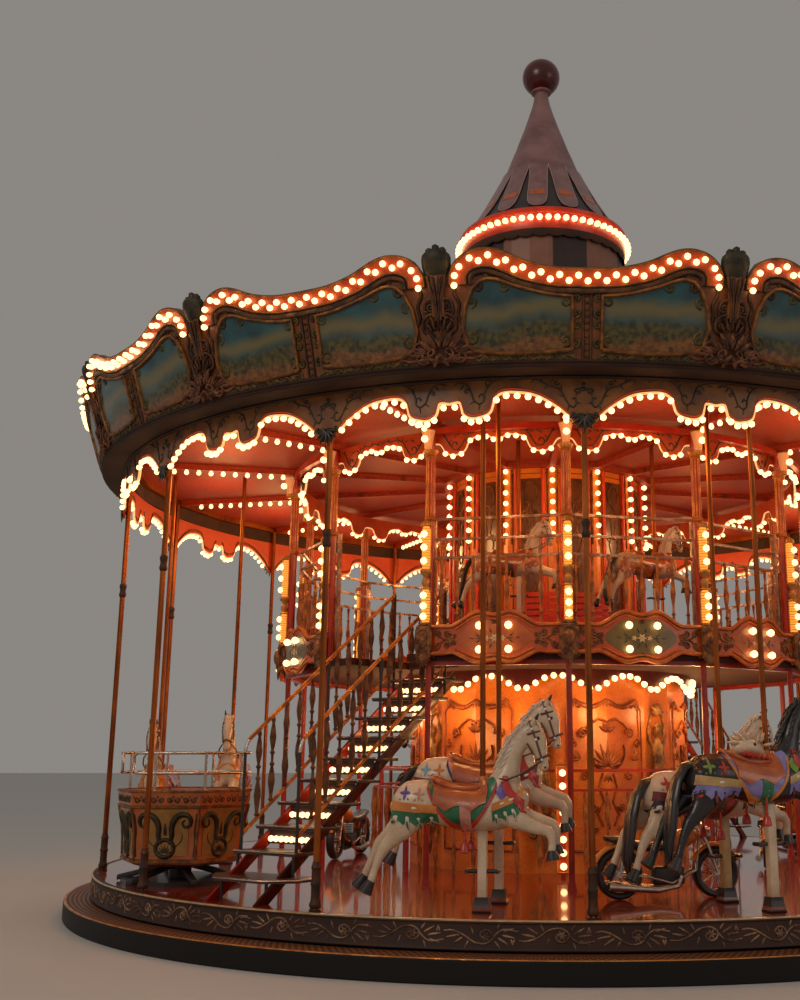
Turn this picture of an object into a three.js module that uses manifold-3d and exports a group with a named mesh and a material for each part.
// A double-deck fairground carousel, in millimetres, +Z up.
// The origin is on the ground, on the axis the carousel turns about. Angle 0 points along -Y, at an outer
// pole, and angles grow towards +X, the way the carousel turns.
// The far half repeats the near half, turned by half a turn.
import * as THREE from 'three';
import { mergeVertices } from 'three/addons/utils/BufferGeometryUtils.js';
import Module from 'manifold-3d';

const wasm = await Module();
wasm.setup();

// Driving dimensions
const BAYS = 14;
const BAY = 360 / BAYS;
const GAP = 0.3;

const STEP_RADIUS = 5170;
const STEP_TOP = 177;
const STEP_INNER_RADIUS = 4960;
const DECK_RADIUS = 4895;
const DECK_TOP = 402;
const DECK_THICKNESS = 50;
const RIM_RADIUS = 4920;
const RIM_BOTTOM = 190;

const POLE_CIRCLE = 4825;
const POLE_RADIUS = 27;
const COLUMN_CIRCLE = 3000;
const COLUMN_RADIUS = 45;
const POST_RADIUS = 30;

const BEAM_BOTTOM = 4700;
const BEAM_TOP = 4760;
const BEAM_WIDTH = 70;
const CEILING_THICKNESS = 30;

const VALANCE_RADIUS = 4876;
const VALANCE_THICKNESS = 18;
const SOFFIT_Z = 4555;
const SOFFIT_THICKNESS = 25;
const CREST_FOOT_RADIUS = 5112;
const CREST_FOOT_Z = SOFFIT_Z + SOFFIT_THICKNESS + GAP;
const CREST_LEAN = 0.33;
const CREST_THICKNESS = 55;
const CREST_BACKING = 9;
const FINIAL_TOP = 5520;

const ROOF_EAVE_Z = 5060;
const ROOF_TOP_Z = 6900;
const ROOF_THICKNESS = 34;
const DRUM_RADIUS = 1000;
const DRUM_BOTTOM = 6780;
const DRUM_TOP = 7830;
const RING_RADIUS = 1040;
const RING_BOTTOM = 7620;
const SPIRE_FOOT = 7935;
const SPIRE_TOP = 10050;
const BALL_RADIUS = 246;

const FLOOR_TOP = 2500;
const FLOOR_THICKNESS = 70;
const FLOOR_RADIUS = 3050;
const FASCIA_THICKNESS = 25;
const RAIL_HEIGHTS = [940, 1120, 1320];
const LOWER_CORE_RADIUS = 1560;
const UPPER_CORE_RADIUS = 1145;
const APRON_RADIUS = 1640;
const CORE_RAIL_RADIUS = 2000;

const STAIR_ANGLE = -36.5;
const STAIR_STEPS = 11;
const STAIR_RISE = (FLOOR_TOP - DECK_TOP) / STAIR_STEPS;
const STAIR_GOING = 250;
const STAIR_WIDTH = 670;
const STAIR_FIRST_NOSE = 4400;
const STAIR_OPENING_WIDTH = 700;

const TUB_ANGLE = -60;
const TUB_CIRCLE = 4230;
const TUB_RADIUS = 655;
const TUB_SIDES = 6;
const TUB_TURN = 26;
const TUB_BOTTOM = 566;
const TUB_TOP = 1243;
const TUB_RAILS = [1418, 1600];

const HORSE_POST = 70;
const HORSE_POLE_RADIUS = 22;
const POST_CLEARANCE = 0.7;
const BELLY_LOWEST = 950;
const POST_FOOT_LOWEST = 155;
const BOOT_HEIGHT = 110;

// A point from its distance to the axis, its angle and its height
function at(radius, degrees, z = 0) {
  const a = THREE.MathUtils.degToRad(degrees);
  return new THREE.Vector3(radius * Math.sin(a), -radius * Math.cos(a), z);
}

// A closed mesh with merged corners and its faces pointing outwards
function closed(geometry) {
  const bare = geometry.clone();
  bare.deleteAttribute('normal');
  bare.deleteAttribute('uv');
  const merged = mergeVertices(bare, 0.01);
  const p = merged.attributes.position;
  const index = merged.index.array;
  const [a, b, c] = [new THREE.Vector3(), new THREE.Vector3(), new THREE.Vector3()];
  const kept = [];
  let volume = 0;
  for (let i = 0; i < index.length; i += 3) {
    const [i0, i1, i2] = [index[i], index[i + 1], index[i + 2]];
    if (i0 === i1 || i1 === i2 || i0 === i2) continue;
    kept.push(i0, i1, i2);
    a.fromBufferAttribute(p, i0);
    b.fromBufferAttribute(p, i1);
    c.fromBufferAttribute(p, i2);
    volume += a.dot(b.cross(c));
  }
  if (volume < 0) kept.reverse();
  merged.setIndex(kept);
  return merged;
}

function toSolid(geometry) {
  const g = closed(geometry);
  return new wasm.Manifold(new wasm.Mesh({
    numProp: 3,
    vertProperties: new Float32Array(g.attributes.position.array),
    triVerts: new Uint32Array(g.index.array),
  }));
}

function fromSolid(solid) {
  const mesh = solid.getMesh();
  const g = new THREE.BufferGeometry();
  g.setAttribute('position', new THREE.BufferAttribute(new Float32Array(mesh.vertProperties), 3));
  g.setIndex(new THREE.BufferAttribute(new Uint32Array(mesh.triVerts), 1));
  return g;
}

function join(geometries) {
  return fromSolid(geometries.map(toSolid).reduce((sum, next) => sum.add(next)));
}

function cut(geometry, cutters) {
  return fromSolid(cutters.map(toSolid).reduce((left, next) => left.subtract(next), toSolid(geometry)));
}

// A piece drawn at angle 0, carried round the axis
function turned(geometry, degrees) {
  return geometry.clone().rotateZ(THREE.MathUtils.degToRad(degrees));
}

function box(x0, x1, y0, y1, z0, z1) {
  const g = new THREE.BoxGeometry(x1 - x0, y1 - y0, z1 - z0);
  return g.translate((x0 + x1) / 2, (y0 + y1) / 2, (z0 + z1) / 2);
}

// A box that runs out from the axis at an angle
function radialBox(r0, r1, width, z0, z1, degrees) {
  return turned(box(-width / 2, width / 2, -r1, -r0, z0, z1), degrees);
}

function polygonPrism(points, z0, z1, holes = []) {
  const shape = new THREE.Shape(points.map((p) => new THREE.Vector2(p.x, p.y)));
  for (const hole of holes) shape.holes.push(new THREE.Path(hole.map((p) => new THREE.Vector2(p.x, p.y))));
  return new THREE.ExtrudeGeometry(shape, { depth: z1 - z0, bevelEnabled: false }).translate(0, 0, z0);
}

function circlePoints(radius, sides, start = 0) {
  return Array.from({ length: sides }, (_, i) => at(radius, start + (360 * i) / sides));
}

// A turned shape about the +Z line through the origin; a ring's profile closes on itself
function turnedShape(profile, sides) {
  const points = profile.map(([r, z]) => new THREE.Vector2(r, z));
  return new THREE.LatheGeometry(points, sides).rotateX(Math.PI / 2);
}

function ringShape(profile, sides) {
  return turnedShape([...profile, profile[0]], sides);
}

function turnedPost(profile, sides, place) {
  const [, bottom] = profile[0];
  const [, top] = profile[profile.length - 1];
  return turnedShape([[0, bottom], ...profile, [0, top]], sides).translate(place.x, place.y, 0);
}

// A thin curved board between two edges. Each station is [degrees, bottom, top]; radius(z) is its outer face
function curvedBoard(stations, radius, thickness, whole) {
  const positions = [];
  for (const [degrees, low, high] of stations) {
    positions.push(at(radius(low), degrees, low), at(radius(high), degrees, high));
    positions.push(at(radius(high) - thickness, degrees, high), at(radius(low) - thickness, degrees, low));
  }
  const index = [];
  const quad = (a, b, c, d) => index.push(a, b, c, a, c, d);
  const spans = whole ? stations.length : stations.length - 1;
  for (let i = 0; i < spans; i++) {
    const [p, q] = [4 * i, 4 * ((i + 1) % stations.length)];
    for (let k = 0; k < 4; k++) quad(p + k, q + k, q + ((k + 1) % 4), p + ((k + 1) % 4));
  }
  if (!whole) {
    const last = 4 * (stations.length - 1);
    quad(0, 1, 2, 3);
    quad(last + 3, last + 2, last + 1, last);
  }
  const g = new THREE.BufferGeometry();
  g.setAttribute('position', new THREE.Float32BufferAttribute(positions.flatMap((v) => [v.x, v.y, v.z]), 3));
  g.setIndex(index);
  return g;
}

// One bay's outline, from its middle line out to both sides, repeated round the axis
function roundTheRing(halfOutline, first = 0, bays = BAYS) {
  const outline = [...halfOutline.slice(1).reverse().map(([u, ...edges]) => [-u, ...edges]), ...halfOutline];
  const stations = [];
  for (let i = 0; i < bays; i++) {
    for (const [u, ...edges] of outline) {
      const shared = u === -HALF_BAY && (i > 0 || bays === BAYS);
      if (!shared) stations.push([first + i * BAY + u, ...edges]);
    }
  }
  return stations;
}

const HALF_BAY = BAY / 2;
const straight = (radius) => () => radius;

// Half a bay of the outer valance: a hanging point at the pole, an arch, a lobe and a square notch
const VALANCE_EDGE = [
  [0, 4108], [2.4, 4300], [6.4, 4465], [8.5, 4410], [9.2, 4235], [11.3, 4235], [11.75, 4368],
];
// The inner valance: a point behind each column and a double arch between
const INNER_VALANCE_EDGE = [[0, 4440], [3.9, 4425], [HALF_BAY, 4630]];
// The crest's wavy top: low at the middle, a hump, then a hook down to the finial
const CREST_EDGE = [[0, 5283], [4.5, 5320], [9, 5450], [11.6, 5215]];
// The upper-deck fascia between two columns: narrow at the column, wide at the middle
const FASCIA_EDGE = [[0, 2400, 2870], [4, 2425, 2845], [9, 2490, 2745], [HALF_BAY, 2490, 2745]];
const APRON_EDGE = [[0, 2225], [HALF_BAY, 2375]];

const crestRadius = (z) => CREST_FOOT_RADIUS + (z - CREST_FOOT_Z) * CREST_LEAN;

// The bays, counted from angle 0, that each half ring covers: the stairs stand in the bays left out
const HALVES = [{ name: 'front', first: -BAY, posts: 7 }, { name: 'back', first: 6 * BAY, posts: 7 }];

const group = new THREE.Group();

function add(name, geometry, color, roughness = 0.6, metalness = 0) {
  const mesh = new THREE.Mesh(closed(geometry), new THREE.MeshStandardMaterial({ color, roughness, metalness }));
  mesh.name = name;
  group.add(mesh);
  return mesh;
}

// Standing base
function base() {
  const [skirt, tread] = [30, 30];
  const step = ringShape([
    [STEP_RADIUS, 0], [STEP_RADIUS, STEP_TOP], [STEP_INNER_RADIUS, STEP_TOP],
    [STEP_INNER_RADIUS, STEP_TOP - tread], [STEP_RADIUS - skirt, STEP_TOP - tread], [STEP_RADIUS - skirt, 0],
  ], 2 * BAYS);
  add('step_ring', step, 0x3a2a22, 0.6, 0.3);

  const [hubRadius, footRadius, armWidth, armReach] = [420, 700, 110, STEP_RADIUS - skirt - 46];
  const armTop = STEP_TOP - tread - GAP;
  const parts = [
    polygonPrism(circlePoints(footRadius, BAYS), 0, armTop),
    polygonPrism(circlePoints(hubRadius, BAYS), armTop - 5, DECK_TOP - DECK_THICKNESS - GAP),
  ];
  for (let i = 0; i < BAYS; i += 2) parts.push(radialBox(0, armReach, armWidth, 0, armTop, i * BAY));
  add('base_frame', join(parts), 0x2b2b2b, 0.6, 0.7);
}

// Places of the galloping horses: circle, angle and the height of the belly as photographed
const HORSES = [
  { name: 'white_horse_outer', circle: 4465, degrees: -10.4, belly: 1000, color: 0xe8dccb },
  { name: 'white_horse_inner', circle: 3910, degrees: -9.8, belly: 1170, color: 0xe0d2bf },
  { name: 'black_horse_outer', circle: 4640, degrees: 18, belly: 1200, color: 0x1a1312 },
  { name: 'bow_horse_inner', circle: 3980, degrees: 17.6, belly: 1060, color: 0xe0d2bf },
];

function horseHoles(side) {
  return HORSES.map(({ circle, degrees }) => {
    const c = at(circle, degrees);
    const half = side / 2;
    return turned(box(-half, half, -half, half, 0, 6000), degrees).translate(c.x, c.y, 0);
  });
}

// The tapered boot on the deck that a galloper's floor post slides in
function boot(circle, degrees) {
  const corner = Math.SQRT2 * (HORSE_POST / 2);
  const [foot, head] = [DECK_TOP - 5, DECK_TOP + BOOT_HEIGHT];
  const taper = new THREE.CylinderGeometry(corner + 20, corner + 48, head - foot, 4);
  const place = at(circle, degrees);
  taper.rotateX(Math.PI / 2).rotateZ(Math.PI / 4).translate(0, 0, (foot + head) / 2);
  return turned(taper, degrees).translate(place.x, place.y, 0);
}

function platform() {
  const parts = [polygonPrism(circlePoints(DECK_RADIUS - GAP, 2 * BAYS), DECK_TOP - DECK_THICKNESS, DECK_TOP)];
  for (const { circle, degrees } of HORSES) parts.push(boot(circle, degrees));
  const deck = cut(join(parts), horseHoles(HORSE_POST + 2 * POST_CLEARANCE));
  add('platform_deck', deck, 0x7a2c12, 0.35);
  const rim = ringShape([
    [RIM_RADIUS, RIM_BOTTOM], [RIM_RADIUS, DECK_TOP], [DECK_RADIUS, DECK_TOP], [DECK_RADIUS, RIM_BOTTOM],
  ], 2 * BAYS);
  add('platform_rim', rim, 0x2a1512, 0.5, 0.2);
}

// Poles along one half of the rim, with the length of eaves ring that they carry
function outerPoles({ name, first, posts }) {
  const foot = DECK_TOP + GAP;
  const profile = [
    [44, foot], [44, foot + 16], [33, foot + 40], [33, foot + 330], [POLE_RADIUS, foot + 350],
    [POLE_RADIUS, BEAM_BOTTOM + 10],
  ];
  const parts = [];
  for (let i = 0; i < posts; i++) parts.push(turnedPost(profile, 6, at(POLE_CIRCLE, first + i * BAY)));
  parts.push(curvedBoard(eavesStations(first, posts), straight(VALANCE_RADIUS - VALANCE_THICKNESS - GAP), 75, false));
  add(`outer_poles_${name}`, join(parts), 0x8a4a22, 0.35, 0.8);
}

function eavesStations(first, posts) {
  const trim = 0.01;
  const stations = [[first - HALF_BAY + trim, BEAM_BOTTOM, BEAM_TOP]];
  for (let i = 0; i < posts; i++) {
    stations.push([first + i * BAY, BEAM_BOTTOM, BEAM_TOP]);
    const corner = first + i * BAY + HALF_BAY - (i === posts - 1 ? trim : 0);
    stations.push([corner, BEAM_BOTTOM, BEAM_TOP]);
  }
  return stations;
}

function canopy() {
  const eavesInner = VALANCE_RADIUS - VALANCE_THICKNESS - GAP - 75;
  const beamEnd = eavesInner * Math.cos(THREE.MathUtils.degToRad(HALF_BAY / 2)) - 2;
  const collar = ringShape([
    [UPPER_CORE_RADIUS + 110, BEAM_BOTTOM], [UPPER_CORE_RADIUS + 110, BEAM_TOP],
    [UPPER_CORE_RADIUS + GAP, BEAM_TOP], [UPPER_CORE_RADIUS + GAP, BEAM_BOTTOM],
  ], BAYS);
  const beams = [collar];
  for (let i = 0; i < BAYS; i++) {
    beams.push(radialBox(UPPER_CORE_RADIUS + 40, beamEnd, BEAM_WIDTH, BEAM_BOTTOM, BEAM_TOP, i * BAY));
  }
  add('canopy_beams', join(beams), 0x6b1d10, 0.5);

  const ceilingRadius = crestRadius(BEAM_TOP) - CREST_THICKNESS - CREST_BACKING;
  const ceiling = polygonPrism(
    circlePoints(ceilingRadius, 2 * BAYS),
    BEAM_TOP + GAP,
    BEAM_TOP + CEILING_THICKNESS,
    [circlePoints(UPPER_CORE_RADIUS + GAP, BAYS).reverse()],
  );
  const holes = horseHoles(2 * (HORSE_POLE_RADIUS + POST_CLEARANCE));
  add('canopy_ceiling', cut(ceiling, holes), 0xa32c14, 0.5);

  const valance = roundTheRing(VALANCE_EDGE.map(([u, z]) => [u, z, SOFFIT_Z - GAP]));
  add('outer_valance', curvedBoard(valance, straight(VALANCE_RADIUS), VALANCE_THICKNESS, true), 0x8a5a2a, 0.55);

  const boxInner = VALANCE_RADIUS - VALANCE_THICKNESS;
  const shelf = SOFFIT_Z + SOFFIT_THICKNESS;
  const soffit = ringShape([
    [CREST_FOOT_RADIUS, SOFFIT_Z], [CREST_FOOT_RADIUS, shelf], [boxInner + 25, shelf],
    [boxInner + 25, BEAM_TOP], [boxInner, BEAM_TOP], [boxInner, SOFFIT_Z],
  ], 2 * BAYS);
  add('canopy_soffit', soffit, 0x3a2114, 0.6);

  const finial = turnedShape([
    [0, 5180], [44, 5180], [102, 5420], [64, FINIAL_TOP], [0, FINIAL_TOP],
  ], 6);
  const crestStations = roundTheRing(CREST_EDGE.map(([u, z]) => [u, CREST_FOOT_Z, z]));
  const crest = [curvedBoard(crestStations, crestRadius, CREST_THICKNESS, true)];
  for (let i = 0; i < BAYS; i++) {
    const place = at(crestRadius(5380) - CREST_THICKNESS / 2, (i + 0.5) * BAY);
    crest.push(finial.clone().translate(place.x, place.y, 0));
  }
  add('crest', join(crest), 0x5a3c1c, 0.6);

  const backing = (z) => crestRadius(z) - CREST_THICKNESS - CREST_BACKING;
  const seat = BEAM_TOP + CEILING_THICKNESS + GAP;
  const roof = ringShape([
    [backing(ROOF_EAVE_Z), ROOF_EAVE_Z], [DRUM_RADIUS + GAP, ROOF_TOP_Z],
    [DRUM_RADIUS + GAP, ROOF_TOP_Z - ROOF_THICKNESS], [backing(ROOF_EAVE_Z) - 35, ROOF_EAVE_Z - 20],
    [backing(BEAM_TOP) - 40, seat], [backing(BEAM_TOP) - 5, seat],
  ], 2 * BAYS);
  add('roof_cone', roof, 0x7a2a1c, 0.7);

  const innerRadius = COLUMN_CIRCLE - COLUMN_RADIUS - 12;
  const inner = roundTheRing(INNER_VALANCE_EDGE.map(([u, z]) => [u, z, BEAM_BOTTOM - GAP]));
  add('inner_valance', curvedBoard(inner, straight(innerRadius), VALANCE_THICKNESS, true), 0x9a5a28, 0.55);
}

function cupola() {
  const drum = ringShape([
    [DRUM_RADIUS, DRUM_BOTTOM], [DRUM_RADIUS, DRUM_TOP], [DRUM_RADIUS - 60, DRUM_TOP],
    [DRUM_RADIUS - 60, DRUM_BOTTOM],
  ], 2 * BAYS);
  add('cupola_drum', drum, 0xa87868, 0.7);

  const ring = ringShape([
    [RING_RADIUS, RING_BOTTOM], [RING_RADIUS, SPIRE_FOOT - GAP], [520, SPIRE_FOOT - GAP],
    [520, DRUM_TOP + GAP], [DRUM_RADIUS + 12, DRUM_TOP + GAP], [DRUM_RADIUS + 12, RING_BOTTOM],
  ], 2 * BAYS);
  add('cupola_ring', ring, 0xc03018, 0.5);

  const spire = turnedShape([
    [0, SPIRE_FOOT], [930, SPIRE_FOOT], [900, 8040], [775, 8240], [680, 8420], [525, 8720], [405, 9030],
    [290, 9340], [185, 9640], [120, 9850], [90, SPIRE_TOP], [0, SPIRE_TOP],
  ], BAYS);
  add('spire', spire, 0x9a7a78, 0.6);

  const neck = 84;
  const foot = SPIRE_TOP + GAP;
  const centre = foot + Math.sqrt(BALL_RADIUS ** 2 - neck ** 2);
  const start = -Math.acos(neck / BALL_RADIUS);
  const steps = 5;
  const arc = Array.from({ length: steps + 1 }, (_, i) => {
    const lift = start + ((Math.PI / 2 - start) * i) / steps;
    return [i === steps ? 0 : BALL_RADIUS * Math.cos(lift), centre + BALL_RADIUS * Math.sin(lift)];
  });
  add('spire_ball', turnedShape([[0, foot], ...arc], BAYS), 0x6a0f10, 0.35);
}

// Slim posts under one half of the upper deck, with the edge beam on their heads
function lowerPosts({ name, first, posts }) {
  const foot = DECK_TOP + GAP;
  const head = FLOOR_TOP - FLOOR_THICKNESS - GAP;
  const profile = [[48, foot], [POST_RADIUS, foot + 80], [POST_RADIUS, head - 20]];
  const parts = [];
  for (let i = 0; i < posts; i++) parts.push(turnedPost(profile, 6, at(COLUMN_CIRCLE, first + i * BAY)));
  const stations = [];
  for (let i = 0; i < posts; i++) stations.push([first + i * BAY, head - 45, head]);
  parts.push(curvedBoard(stations, straight(COLUMN_CIRCLE + 35), 70, false));
  add(`lower_posts_${name}`, join(parts), 0x3a1410, 0.4, 0.5);
}

// Fluted columns on the upper deck, with a lamp cup at the head, two lamp tubes and the header they carry
function upperColumns({ name, first, posts }) {
  const foot = FLOOR_TOP + GAP;
  const profile = [[COLUMN_RADIUS, foot], [COLUMN_RADIUS, BEAM_BOTTOM - 30]];
  const parts = [];
  const lampCircle = COLUMN_CIRCLE + 74;
  for (let i = 0; i < posts; i++) {
    const degrees = first + i * BAY;
    parts.push(turnedPost(profile, 6, at(COLUMN_CIRCLE, degrees)));
    parts.push(turnedPost([[50, 2775], [50, 3720]], 5, at(lampCircle, degrees)));
    parts.push(turnedPost([[30, 4450], [64, 4668]], 5, at(COLUMN_CIRCLE + 62, degrees)));
  }
  const header = [];
  for (let i = 0; i < 2 * posts - 1; i++) {
    header.push([first + i * HALF_BAY, BEAM_BOTTOM - 60, BEAM_BOTTOM - GAP]);
  }
  parts.push(curvedBoard(header, straight(COLUMN_CIRCLE + 30), 60, false));
  add(`upper_columns_${name}`, join(parts), 0x9a3a1c, 0.4, 0.4);
}

// The carved board round the upper deck's edge, with a mask block under each column
function fascia({ name, first, posts }) {
  const start = first - 4;
  const end = first + (posts - 1) * BAY + 4;
  const middles = roundTheRing(FASCIA_EDGE, first + HALF_BAY, posts - 1);
  const low = FASCIA_EDGE[FASCIA_EDGE.length - 1];
  const stations = [[start, low[1], low[2]], ...middles, [end, low[1], low[2]]];
  const outer = FLOOR_RADIUS + GAP + FASCIA_THICKNESS;
  const parts = [curvedBoard(stations, straight(outer), FASCIA_THICKNESS, false)];
  for (let i = 0; i < posts; i++) {
    parts.push(radialBox(outer - 10, outer + 60, 150, 2380, 2755, first + i * BAY));
  }
  add(`fascia_${name}`, join(parts), 0xb5682a, 0.5, 0.2);
}

// Three pipe rails behind the columns, on a standard at each one
function railing({ name, first, posts }) {
  const circle = 2905;
  const parts = [];
  const bar = 26;
  for (const height of RAIL_HEIGHTS) {
    const stations = [];
    for (let i = 0; i < posts; i++) {
      stations.push([first + i * BAY, FLOOR_TOP + height - bar, FLOOR_TOP + height]);
    }
    parts.push(curvedBoard(stations, straight(circle + bar / 2), bar, false));
  }
  const top = FLOOR_TOP + RAIL_HEIGHTS[2] - 5;
  for (let i = 0; i < posts; i++) {
    parts.push(radialBox(circle - 18, circle + 18, 36, FLOOR_TOP + GAP, top, first + i * BAY));
  }
  add(`railing_${name}`, join(parts), 0x8a4020, 0.4, 0.5);
}

function stairOpening(degrees) {
  const half = STAIR_OPENING_WIDTH / 2;
  return turned(box(-half, half, -FLOOR_RADIUS - 100, -stairNose(STAIR_STEPS) + 4, 0, 4000), degrees);
}

function stairNose(step) {
  return STAIR_FIRST_NOSE - (step - 2) * STAIR_GOING;
}

function upperDeck() {
  const disc = polygonPrism(circlePoints(FLOOR_RADIUS, 2 * BAYS), FLOOR_TOP - FLOOR_THICKNESS, FLOOR_TOP);
  const openings = [STAIR_ANGLE, STAIR_ANGLE + 180].map(stairOpening);
  add('upper_floor', cut(disc, openings), 0x5a1a10, 0.6);
}

function core() {
  const panels = 7;
  const corners = [];
  for (let i = 0; i < panels; i++) {
    const middle = 19 + (i * 360) / panels;
    for (const [u, r] of [[-18, LOWER_CORE_RADIUS], [0, LOWER_CORE_RADIUS + 20], [18, LOWER_CORE_RADIUS]]) {
      corners.push(at(r, middle + u));
    }
    corners.push(at(LOWER_CORE_RADIUS - 90, middle + 180 / panels));
  }
  add('lower_core', polygonPrism(corners, DECK_TOP + GAP, FLOOR_TOP - FLOOR_THICKNESS - GAP), 0xd0741c, 0.5);

  const apron = roundTheRing(APRON_EDGE.map(([u, z]) => [u, z, FLOOR_TOP - FLOOR_THICKNESS - GAP]), HALF_BAY);
  add('core_apron', curvedBoard(apron, straight(APRON_RADIUS), 16, true), 0x7a1c10, 0.5);

  const drum = polygonPrism(circlePoints(UPPER_CORE_RADIUS, BAYS), FLOOR_TOP + GAP, BEAM_TOP + CEILING_THICKNESS);
  add('upper_core', drum, 0xb8501e, 0.5);

  const parts = [];
  for (const [low, high] of [[1215, 1240], [1400, 1430]]) {
    parts.push(ringShape([
      [CORE_RAIL_RADIUS + 15, low], [CORE_RAIL_RADIUS + 15, high], [CORE_RAIL_RADIUS - 15, high],
      [CORE_RAIL_RADIUS - 15, low],
    ], BAYS));
  }
  for (let i = 0; i < BAYS; i += 2) {
    parts.push(radialBox(CORE_RAIL_RADIUS - 22, CORE_RAIL_RADIUS + 22, 44, DECK_TOP + GAP, 1425, i * BAY));
  }
  add('core_railing', join(parts), 0x7a3018, 0.4, 0.5);
}

// An outline of [y, z] points with its holes, pushed from one x to another
function acrossX(outline, x0, x1, holes = []) {
  const flat = (points) => points.map(([y, z]) => new THREE.Vector2(y, z));
  const shape = new THREE.Shape(flat(outline));
  for (const hole of holes) shape.holes.push(new THREE.Path(flat(hole)));
  const g = new THREE.ExtrudeGeometry(shape, { depth: x1 - x0, bevelEnabled: false });
  const turn = new THREE.Matrix4().makeBasis(
    new THREE.Vector3(0, 1, 0), new THREE.Vector3(0, 0, 1), new THREE.Vector3(1, 0, 0),
  );
  return g.applyMatrix4(turn).translate(x0, 0, 0);
}

// A sloping handrail with a low rail above the treads and three posts that reach down to the stringer
function handrail() {
  const [bar, post, drop] = [40, 34, 770];
  const slope = STAIR_RISE / STAIR_GOING;
  const foot = -STAIR_FIRST_NOSE + 60;
  const head = -stairNose(STAIR_STEPS) - 260;
  const top = (y) => FLOOR_TOP + 700 + (y - head) * slope;
  const reach = 1010;
  const posts = [foot, (foot + head) / 2, head];
  const frame = [
    [foot, top(foot)], [head + post, top(head + post)], [head + post, top(head) - reach], [head, top(head) - reach],
  ];
  const windows = [];
  for (let i = 1; i >= 0; i--) {
    const [from, to] = [posts[i] + post, posts[i + 1]];
    frame.push([to, top(to) - drop - bar], [from, top(from) - drop - bar]);
    frame.push([from, top(posts[i]) - reach], [posts[i], top(posts[i]) - reach]);
    windows.push([[from, top(from) - drop], [to, top(to) - drop], [to, top(to) - bar], [from, top(from) - bar]]);
  }
  return { frame, windows };
}

// One flight: thin treads on two stringers that reach down to the deck, a six-sided landing on legs, and handrails
function stairFlight(degrees) {
  const half = STAIR_WIDTH / 2;
  const [plank, overlap, plate, thick] = [32, 25, 30, 30];
  const parts = [];
  const foot = DECK_TOP + GAP;
  const slope = STAIR_RISE / STAIR_GOING;
  const noseZ = (step) => DECK_TOP + step * STAIR_RISE;
  for (let step = 2; step < STAIR_STEPS; step++) {
    const nose = -stairNose(step);
    parts.push(box(-half, half, nose, nose + STAIR_GOING + overlap, noseZ(step) - plank, noseZ(step)));
  }
  const pitch = (y, below) => noseZ(2) + (y + stairNose(2)) * slope - below;
  const onDeck = (below) => -stairNose(2) - (noseZ(2) - below - foot) / slope;
  const head = -stairNose(STAIR_STEPS) - 30;
  const [upper, lower] = [80, 200];
  const outline = [[onDeck(upper), foot], [onDeck(lower), foot], [head, pitch(head, lower)], [head, pitch(head, upper)]];
  for (const side of [-1, 1]) {
    const inner = side * (half - 65);
    const outer = inner + side * plate;
    parts.push(acrossX(outline, Math.min(inner, outer), Math.max(inner, outer)));
    const railX = side * (half - 40);
    const { frame, windows } = handrail();
    parts.push(acrossX(frame, railX - 15, railX + 15, windows));
  }
  const landing = noseZ(1);
  const front = -stairNose(2) - 300;
  const back = -stairNose(2) + 130;
  const landingPoints = [
    [-450, back], [-450, front + 200], [-260, front], [260, front], [450, front + 200], [450, back],
  ].map(([x, y]) => new THREE.Vector2(x, y));
  parts.push(polygonPrism(landingPoints, landing - thick, landing));
  for (const x of [-240, 240]) {
    parts.push(box(x - 18, x + 18, front + 40, front + 76, foot, landing - 10));
  }
  return turned(join(parts), degrees);
}

function stairs() {
  add('stair_front', stairFlight(STAIR_ANGLE), 0x8a1c12, 0.4, 0.3);
  add('stair_back', stairFlight(STAIR_ANGLE + 180), 0x8a1c12, 0.4, 0.3);
}

// A carved six-sided tub that spins on its own hub, with two rails round its rim
function tubShapes() {
  const [wall, floor] = [45, 40];
  const bowl = turned(tubBowl(wall, floor), TUB_TURN);
  const rails = TUB_RAILS.map((z) => ringShape([
    [TUB_RADIUS - 10, z - 28], [TUB_RADIUS - 10, z], [TUB_RADIUS - 38, z], [TUB_RADIUS - 38, z - 28],
  ], TUB_SIDES));
  for (let i = 0; i < TUB_SIDES; i++) {
    const corner = (i * 360) / TUB_SIDES;
    rails.push(radialBox(TUB_RADIUS - 40, TUB_RADIUS - 12, 28, TUB_TOP + GAP, TUB_RAILS[1] - 5, corner));
  }
  const hub = [
    polygonPrism(circlePoints(560, 8), DECK_TOP + GAP, DECK_TOP + 40),
    polygonPrism(circlePoints(110, 8), DECK_TOP + 30, TUB_BOTTOM - GAP),
  ];
  return { bowl, rails: turned(join(rails), TUB_TURN), hub: join(hub) };
}

function tubBowl(wall, floor) {
  return turnedShape([
    [0, TUB_BOTTOM], [500, TUB_BOTTOM], [565, TUB_BOTTOM + 60], [590, 900], [TUB_RADIUS, 1180],
    [TUB_RADIUS, TUB_TOP], [TUB_RADIUS - wall, TUB_TOP], [590 - wall, 900], [545 - wall, TUB_BOTTOM + floor],
    [0, TUB_BOTTOM + floor],
  ], TUB_SIDES);
}

function tubs() {
  const { bowl, rails, hub } = tubShapes();
  const place = at(TUB_CIRCLE, TUB_ANGLE);
  const put = (g, where) => g.clone().translate(where.x, where.y, 0);
  add('tub_turntable', put(hub, place), 0x1c1614, 0.5, 0.6);
  add('tub', put(bowl, place), 0xb8581c, 0.5, 0.2);
  add('tub_rails', put(rails, place), 0xb0b0b0, 0.25, 1);
  const rear = join([hub, bowl.clone().translate(0, 0, -1), rails.clone().translate(0, 0, -2)]);
  add('rear_tub', put(rear, at(TUB_CIRCLE, TUB_ANGLE + 180)), 0xb8581c, 0.5, 0.2);
}

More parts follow.
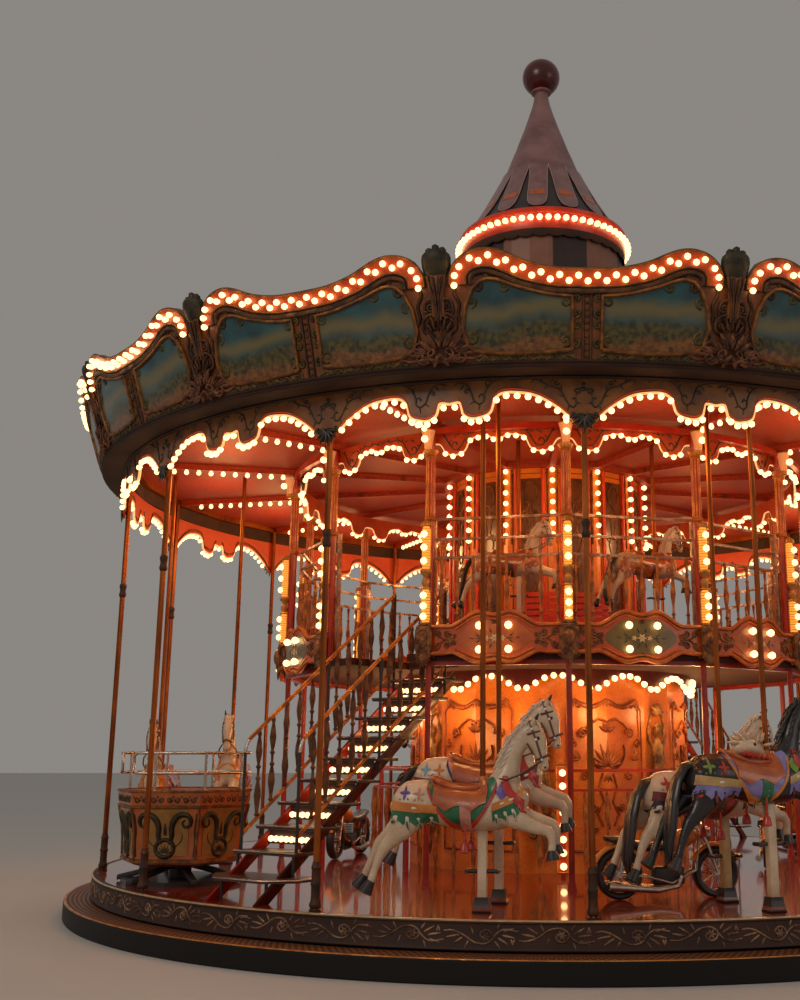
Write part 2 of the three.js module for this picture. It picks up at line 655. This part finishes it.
// A limb or body swept along points [x, z, half width, half depth] at a sideways offset
function swept(points, y, sides) {
  const positions = [];
  points.forEach(([x, z, width, depth], i) => {
    const [before, after] = [points[Math.max(i - 1, 0)], points[Math.min(i + 1, points.length - 1)]];
    const along = new THREE.Vector2(after[0] - before[0], after[1] - before[1]).normalize();
    for (let k = 0; k < sides; k++) {
      const a = (2 * Math.PI * (k + 0.5)) / sides;
      const off = depth * Math.sin(a);
      positions.push(x - along.y * off, y + width * Math.cos(a), z + along.x * off);
    }
  });
  const index = [];
  for (let i = 0; i < points.length - 1; i++) {
    for (let k = 0; k < sides; k++) {
      const [a, b] = [i * sides + k, i * sides + ((k + 1) % sides)];
      index.push(a, b, b + sides, a, b + sides, a + sides);
    }
  }
  const last = (points.length - 1) * sides;
  for (let k = 1; k < sides - 1; k++) index.push(0, k + 1, k, last, last + k, last + k + 1);
  const g = new THREE.BufferGeometry();
  g.setAttribute('position', new THREE.Float32BufferAttribute(positions, 3));
  g.setIndex(index);
  return g;
}

// A galloping horse, nose along +X, its pole on the Z axis and the low point of its belly at z = 0
function horseShape() {
  const trunk = swept([
    [-725, 255, 80, 75], [-560, 215, 180, 185], [60, 190, 185, 200], [340, 215, 110, 130],
  ], 0, 6);
  const neck = swept([[120, 280, 100, 190], [360, 720, 66, 110], [430, 740, 66, 90], [530, 480, 46, 50]], 0, 4);
  const hind = [[-590, 200, 80, 120], [-850, -110, 38, 48], [-1010, -450, 40, 42]];
  const fore = [[240, 130, 70, 95], [560, 60, 36, 48], [550, -210, 34, 38]];
  const near = hind.map(([x, z, w, d], i) => [x + 60 * i, z, w, d]);
  const tuck = fore.map(([x, z, w, d]) => [x - 20, z + 12, w, d]);
  return [trunk, neck, swept(hind, 95, 3), swept(near, -95, 3), swept(fore, 90, 3), swept(tuck, -90, 3)];
}

// A horse with its square floor post below and its round pole above, turned to face the way of travel
function mountedHorse({ circle, degrees, belly, foot, top, size = 1 }) {
  const parts = horseShape().map((g) => g.scale(size, size, size).translate(0, 0, belly));
  const half = (HORSE_POST / 2) * size;
  parts.push(box(-half, half, -half, half, foot, belly + 60));
  parts.push(turnedPost([[HORSE_POLE_RADIUS, belly + 200], [HORSE_POLE_RADIUS, top]], 4, { x: 0, y: 0 }));
  const place = at(circle, degrees);
  return turned(join(parts), degrees).translate(place.x, place.y, 0);
}

// A toy motorbike, nose along +X, with the middle of its wheelbase at the origin
function motorbike({ circle, degrees }) {
  const [wheelbase, wheelRadius, wheelWidth] = [860, 205, 90];
  const parts = [];
  const z = DECK_TOP + GAP + wheelRadius;
  for (const x of [-wheelbase / 2, wheelbase / 2]) {
    const wheel = new THREE.CylinderGeometry(wheelRadius, wheelRadius, wheelWidth, 12);
    parts.push(wheel.translate(x, 0, z));
  }
  const body = [
    [-560, z + 250], [-420, z + 330], [-40, z + 260], [200, z + 380], [330, z + 360], [470, z - 20], [400, z - 30],
    [230, z + 130], [120, z - 80], [-140, z - 80], [-470, z - 20], [-430, z + 190],
  ];
  parts.push(acrossX(body, -65, 65).rotateZ(-Math.PI / 2));
  parts.push(box(240, 300, -200, 200, z + 350, z + 395));
  const place = at(circle, degrees);
  return turned(join(parts), degrees).translate(place.x, place.y, 0);
}

function motorbikes() {
  const places = [{ circle: 3640, degrees: 12 }, { circle: 2420, degrees: -105 }];
  [0, 180].forEach((turn, half) => {
    places.forEach(({ circle, degrees }, i) => {
      const name = `motorbike_${2 * half + i + 1}`;
      add(name, motorbike({ circle, degrees: degrees + turn }), 0x2a1a16, 0.35, 0.3);
    });
  });
}

function horses() {
  for (const { name, circle, degrees, belly, color } of HORSES) {
    const fall = belly - BELLY_LOWEST;
    const foot = POST_FOOT_LOWEST + fall;
    const top = BEAM_TOP + CEILING_THICKNESS + 20 + fall;
    add(name, mountedHorse({ circle, degrees, belly, foot, top }), color, 0.4);
  }
  const standing = [
    { name: 'left_horse_outer', circle: 4400, degrees: -85, belly: 1050 },
    { name: 'left_horse_inner', circle: 3600, degrees: -85, belly: 1150 },
    { name: 'rear_horse_1', circle: 4465, degrees: 169.6, belly: 1000 },
    { name: 'rear_horse_2', circle: 3910, degrees: 170.2, belly: 1170 },
    { name: 'rear_horse_3', circle: 4640, degrees: 198, belly: 1200 },
    { name: 'rear_horse_4', circle: 3980, degrees: 197.6, belly: 1060 },
    { name: 'right_horse_outer', circle: 4400, degrees: 95, belly: 1050 },
    { name: 'right_horse_inner', circle: 3600, degrees: 95, belly: 1150 },
  ];
  for (const horse of standing) {
    const shape = mountedHorse({ ...horse, foot: DECK_TOP + GAP, top: BEAM_TOP });
    add(horse.name, shape, 0xe0d2bf, 0.4);
  }
  const upstairs = [-10.5, 24.5, 169.5, 204.5];
  upstairs.forEach((degrees, i) => {
    const foot = FLOOR_TOP + GAP;
    const top = BEAM_BOTTOM - GAP;
    const shape = mountedHorse({ circle: 2330, degrees, belly: 3300, foot, top, size: 0.66 });
    add(`upper_horse_${i + 1}`, shape, 0xe8dccb, 0.4);
  });
}

base();
platform();
HALVES.forEach(outerPoles);
canopy();
cupola();
HALVES.forEach(lowerPosts);
HALVES.forEach(upperColumns);
HALVES.forEach(fascia);
HALVES.forEach(railing);
upperDeck();
core();
stairs();
tubs();
horses();
motorbikes();

export default group;
